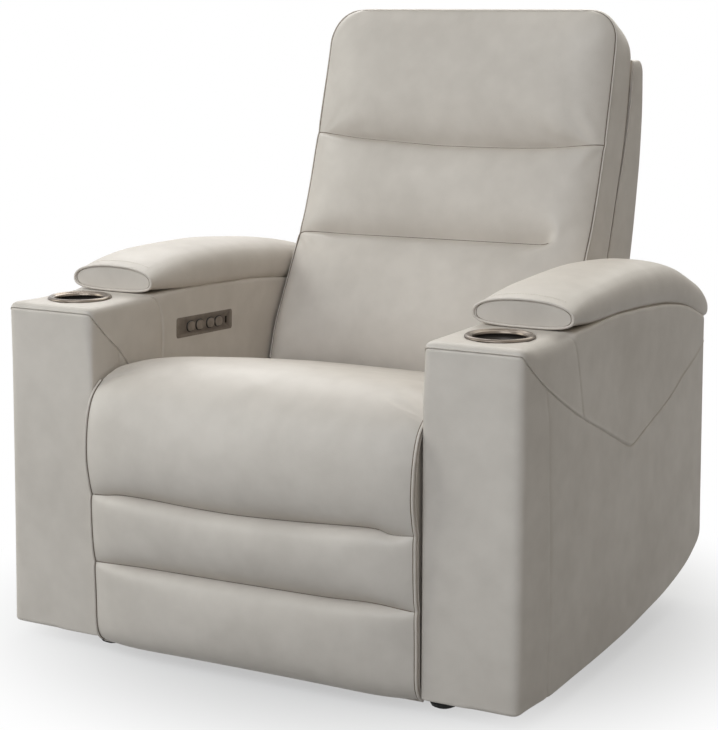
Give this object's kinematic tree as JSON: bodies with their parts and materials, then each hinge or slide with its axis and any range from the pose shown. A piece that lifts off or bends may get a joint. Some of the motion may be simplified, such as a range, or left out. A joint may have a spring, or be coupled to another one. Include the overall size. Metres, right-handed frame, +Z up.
{
  "type": "cinema recliner seat",
  "caption": "Powered leather cinema recliner seat with cup holders in its arms, a chaise footrest, a reclining back and a tilting headrest.",
  "frame": {"origin": "on the floor, in the middle of the overall width and depth", "axes": "+X to the sitter's left, +Y to the rear, +Z up"},
  "size_m": [0.965, 0.9772, 1.08],
  "materials": {
    "leather": "satin",
    "dark_steel": "satin",
    "zinc_steel": "satin",
    "bronze": "satin",
    "black_plastic": "matte",
    "rubber": "matte",
    "plywood": "matte"
  },
  "bodies": {
    "base": {"arm_front_panel_left": "leather", "arm_front_panel_right": "leather", "arm_outer_panel_left": "leather", "arm_outer_panel_right": "leather", "arm_inner_panel_left": "leather", "arm_inner_panel_right": "leather", "arm_top_panel_left": "leather", "arm_top_panel_right": "leather", "arm_pad_left": "leather", "arm_pad_right": "leather", "cup_holder_left": "bronze", "cup_holder_right": "bronze", "base_side_left": "dark_steel", "base_side_right": "dark_steel", "arm_glide_left": "rubber", "arm_glide_right": "rubber", "rail_foot_front_left": "rubber", "rail_foot_front_right": "rubber", "rail_foot_rear_left": "rubber", "rail_foot_rear_right": "rubber", "front_cross_tube": "dark_steel", "rear_cross_tube": "dark_steel", "control_plate": "bronze", "power_box": "black_plastic", "recline_drive": "black_plastic"},
    "seat": {"seat_plate_left": "dark_steel", "seat_plate_right": "dark_steel", "seat_front_rail": "plywood", "seat_rear_rail": "plywood", "seat_springs": "zinc_steel", "seat_cushion": "leather", "recline_slider": "zinc_steel", "footrest_drive": "black_plastic"},
    "footrest": {"footrest_board": "plywood", "footrest_pad": "leather", "footrest_bracket_left": "dark_steel", "footrest_bracket_right": "dark_steel"},
    "rear_links": {"rear_link_left": "dark_steel", "rear_link_right": "dark_steel", "footrest_torque_tube": "dark_steel"},
    "front_links": {"front_link_left": "dark_steel", "front_link_right": "dark_steel"},
    "couplers": {"coupler_left": "dark_steel", "coupler_right": "dark_steel"},
    "footrest_carriage": {"footrest_slider": "zinc_steel"},
    "back": {"back_side_left": "leather", "back_side_right": "leather", "back_upright_left": "dark_steel", "back_upright_right": "dark_steel", "back_rear_panel": "leather", "back_cushion": "leather", "back_cross_rail": "plywood", "headrest_drive": "black_plastic", "headrest_bail": "zinc_steel"},
    "headrest": {"headrest_frame": "dark_steel", "headrest_cushion": "leather"},
    "recline_button_back": {"button_1": "black_plastic"},
    "recline_button_forward": {"button_2": "black_plastic"},
    "headrest_button_back": {"button_3": "black_plastic"},
    "headrest_button_forward": {"button_4": "black_plastic"}
  },
  "joints": [
    {"name": "back_recline", "type": "hinge", "parent": "seat", "child": "back", "pos_m": [0, 0.189, 0.38], "axis": [-1, 0, 0], "range_deg": [0, 40]},
    {"name": "seat_glide", "type": "slide", "parent": "base", "child": "seat", "axis": [0, -1, 0], "range_m": [0, 0.08]},
    {"name": "headrest_tilt", "type": "hinge", "parent": "back", "child": "headrest", "pos_m": [0, 0.31302, 0.829], "axis": [1, 0, 0], "range_deg": [0, 30]},
    {"name": "footrest_open", "type": "hinge", "parent": "seat", "child": "footrest", "pos_m": [0, -0.451, 0.44], "axis": [-1, 0, 0], "range_deg": [0, 85]},
    {"name": "rear_links_swing", "type": "hinge", "parent": "seat", "child": "rear_links", "pos_m": [0, -0.281, 0.34], "axis": [-1, 0, 0], "range_deg": [0, 85]},
    {"name": "front_links_swing", "type": "hinge", "parent": "seat", "child": "front_links", "pos_m": [0, -0.3235, 0.365], "axis": [-1, 0, 0], "range_deg": [0, 85]},
    {"name": "couplers_swing", "type": "hinge", "parent": "rear_links", "child": "couplers", "pos_m": [0, -0.221, 0.1], "axis": [-1, 0, 0], "range_deg": [-85, 0]},
    {"name": "footrest_carriage_slide", "type": "slide", "parent": "seat", "child": "footrest_carriage", "axis": [0, -1, 0], "range_m": [0, 0.1]},
    {"name": "recline_button_back_press", "type": "slide", "parent": "base", "child": "recline_button_back", "axis": [-1, 0, 0], "range_m": [0, 0.0015], "stiffness_N_per_m": 400},
    {"name": "recline_button_forward_press", "type": "slide", "parent": "base", "child": "recline_button_forward", "axis": [-1, 0, 0], "range_m": [0, 0.0015], "stiffness_N_per_m": 400},
    {"name": "headrest_button_back_press", "type": "slide", "parent": "base", "child": "headrest_button_back", "axis": [-1, 0, 0], "range_m": [0, 0.0015], "stiffness_N_per_m": 400},
    {"name": "headrest_button_forward_press", "type": "slide", "parent": "base", "child": "headrest_button_forward", "axis": [-1, 0, 0], "range_m": [0, 0.0015], "stiffness_N_per_m": 400}
  ],
  "couplings": [
    {"joint": "seat_glide", "follows": "back_recline", "m_per_rad": 0.1145},
    {"joint": "rear_links_swing", "follows": "footrest_open", "ratio": 1},
    {"joint": "front_links_swing", "follows": "footrest_open", "ratio": 1},
    {"joint": "couplers_swing", "follows": "footrest_open", "ratio": -1},
    {"joint": "footrest_carriage_slide", "follows": "footrest_open", "m_per_rad": 0.0674}
  ]
}
